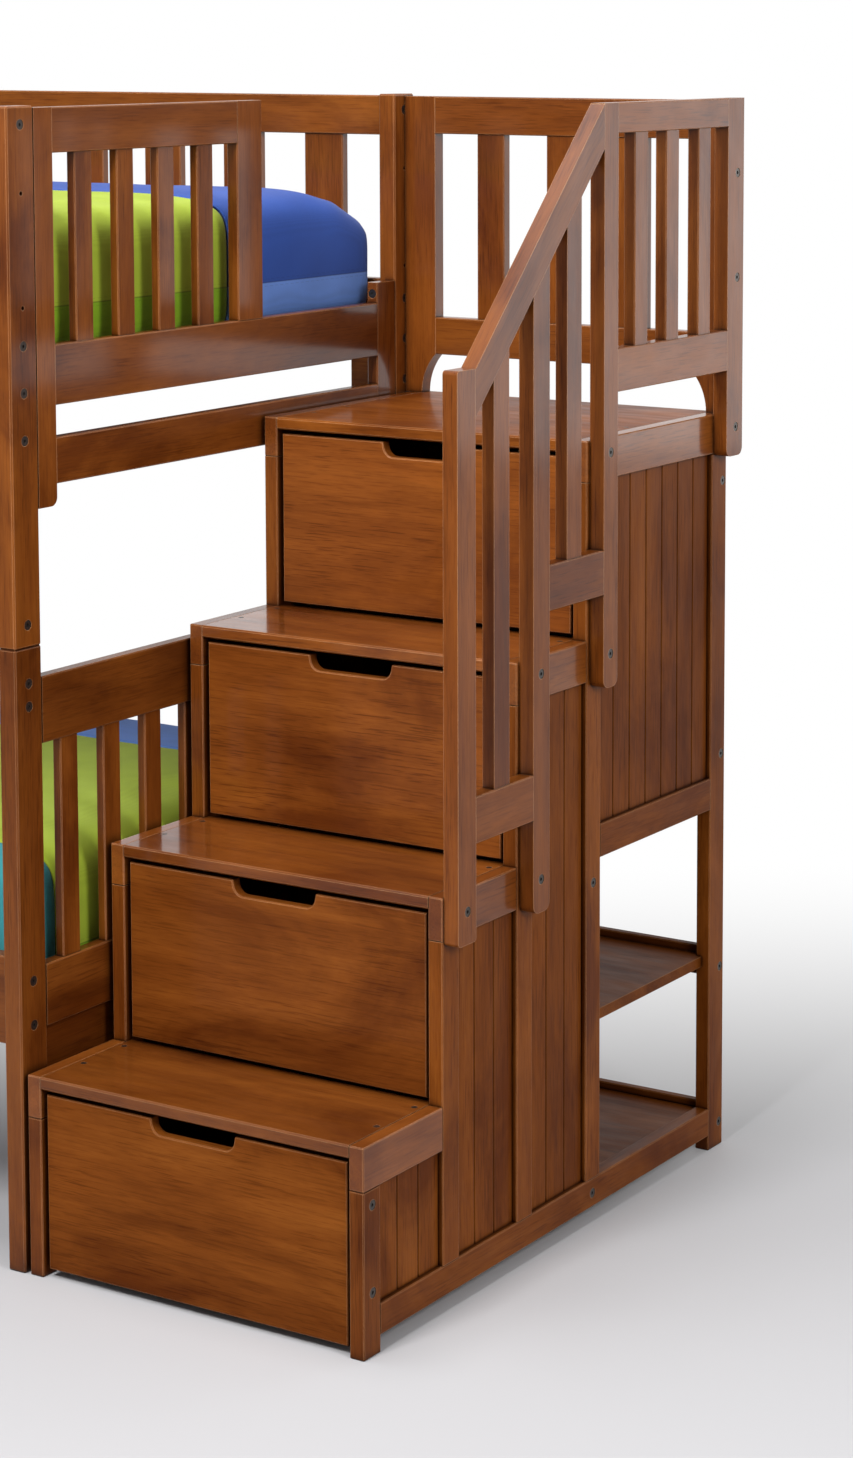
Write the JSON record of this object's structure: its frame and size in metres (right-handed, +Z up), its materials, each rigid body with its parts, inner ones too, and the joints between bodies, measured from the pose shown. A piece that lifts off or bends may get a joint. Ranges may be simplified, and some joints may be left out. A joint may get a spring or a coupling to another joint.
{
  "type": "bunk bed with staircase",
  "caption": "Two stacked single beds of stained wood with a staircase of drawers, a slatted handrail and a guarded landing at one end.",
  "frame": {"origin": "middle of the footprint, on the floor", "axes": "+Z up, +X along the bed towards the stairs, -Y the side the drawers open to"},
  "size_m": [2.674, 1.105, 1.812],
  "materials": {
    "stained_wood": "glossy stained",
    "bolt_steel": "dark",
    "mattress_blue": "woven",
    "coverlet_blue": "woven",
    "coverlet_green": "woven",
    "coverlet_teal": "woven"
  },
  "bodies": {
    "bed_and_stairs": {"back_guard_rails": "stained_wood", "back_guard_stiles": "stained_wood", "bolts_and_screws": "bolt_steel", "bookcase": "stained_wood", "drawer_runners": "stained_wood", "guard_rails": "stained_wood", "guard_slats": "stained_wood", "handrail_cross_rails": "stained_wood", "handrail_posts": "stained_wood", "handrail_slats": "stained_wood", "lower_bed_slats": "stained_wood", "lower_cover_blue": "coverlet_blue", "lower_cover_green": "coverlet_green", "lower_cover_teal": "coverlet_teal", "lower_end_rails_left": "stained_wood", "lower_end_rails_right": "stained_wood", "lower_end_slats_left": "stained_wood", "lower_end_slats_right": "stained_wood", "lower_mattress": "mattress_blue", "lower_post_back_left": "stained_wood", "lower_post_back_right": "stained_wood", "lower_post_front_left": "stained_wood", "lower_post_front_right": "stained_wood", "lower_side_rails": "stained_wood", "slat_cleats": "stained_wood", "sloping_handrail": "stained_wood", "stacking_pins": "bolt_steel", "stair_back_panel": "stained_wood", "stair_left_stiles": "stained_wood", "stair_right_stiles": "stained_wood", "stair_side_panels": "stained_wood", "stair_side_rails": "stained_wood", "tread_1": "stained_wood", "tread_2": "stained_wood", "tread_3": "stained_wood", "tread_4": "stained_wood", "tread_side_boards": "stained_wood", "upper_bed_slats": "stained_wood", "upper_cover_blue": "coverlet_blue", "upper_cover_green": "coverlet_green", "upper_cover_teal": "coverlet_teal", "upper_end_rails_left": "stained_wood", "upper_end_rails_right": "stained_wood", "upper_end_slats_left": "stained_wood", "upper_end_slats_right": "stained_wood", "upper_end_stiles_right": "stained_wood", "upper_mattress": "mattress_blue", "upper_post_back_left": "stained_wood", "upper_post_back_right": "stained_wood", "upper_post_front_left": "stained_wood", "upper_post_front_right": "stained_wood", "upper_side_rails": "stained_wood"},
    "drawer_1": {"drawer_1_front": "stained_wood", "drawer_1_box": "stained_wood"},
    "drawer_2": {"drawer_2_front": "stained_wood", "drawer_2_box": "stained_wood"},
    "drawer_3": {"drawer_3_front": "stained_wood", "drawer_3_box": "stained_wood"},
    "drawer_4": {"drawer_4_front": "stained_wood", "drawer_4_box": "stained_wood"}
  },
  "joints": [
    {"name": "drawer_1_slide", "type": "slide", "parent": "bed_and_stairs", "child": "drawer_1", "axis": [0, -1, 0], "range_m": [0, 0.42]},
    {"name": "drawer_2_slide", "type": "slide", "parent": "bed_and_stairs", "child": "drawer_2", "axis": [0, -1, 0], "range_m": [0, 0.28]},
    {"name": "drawer_3_slide", "type": "slide", "parent": "bed_and_stairs", "child": "drawer_3", "axis": [0, -1, 0], "range_m": [0, 0.42]},
    {"name": "drawer_4_slide", "type": "slide", "parent": "bed_and_stairs", "child": "drawer_4", "axis": [0, -1, 0], "range_m": [0, 0.28]}
  ]
}
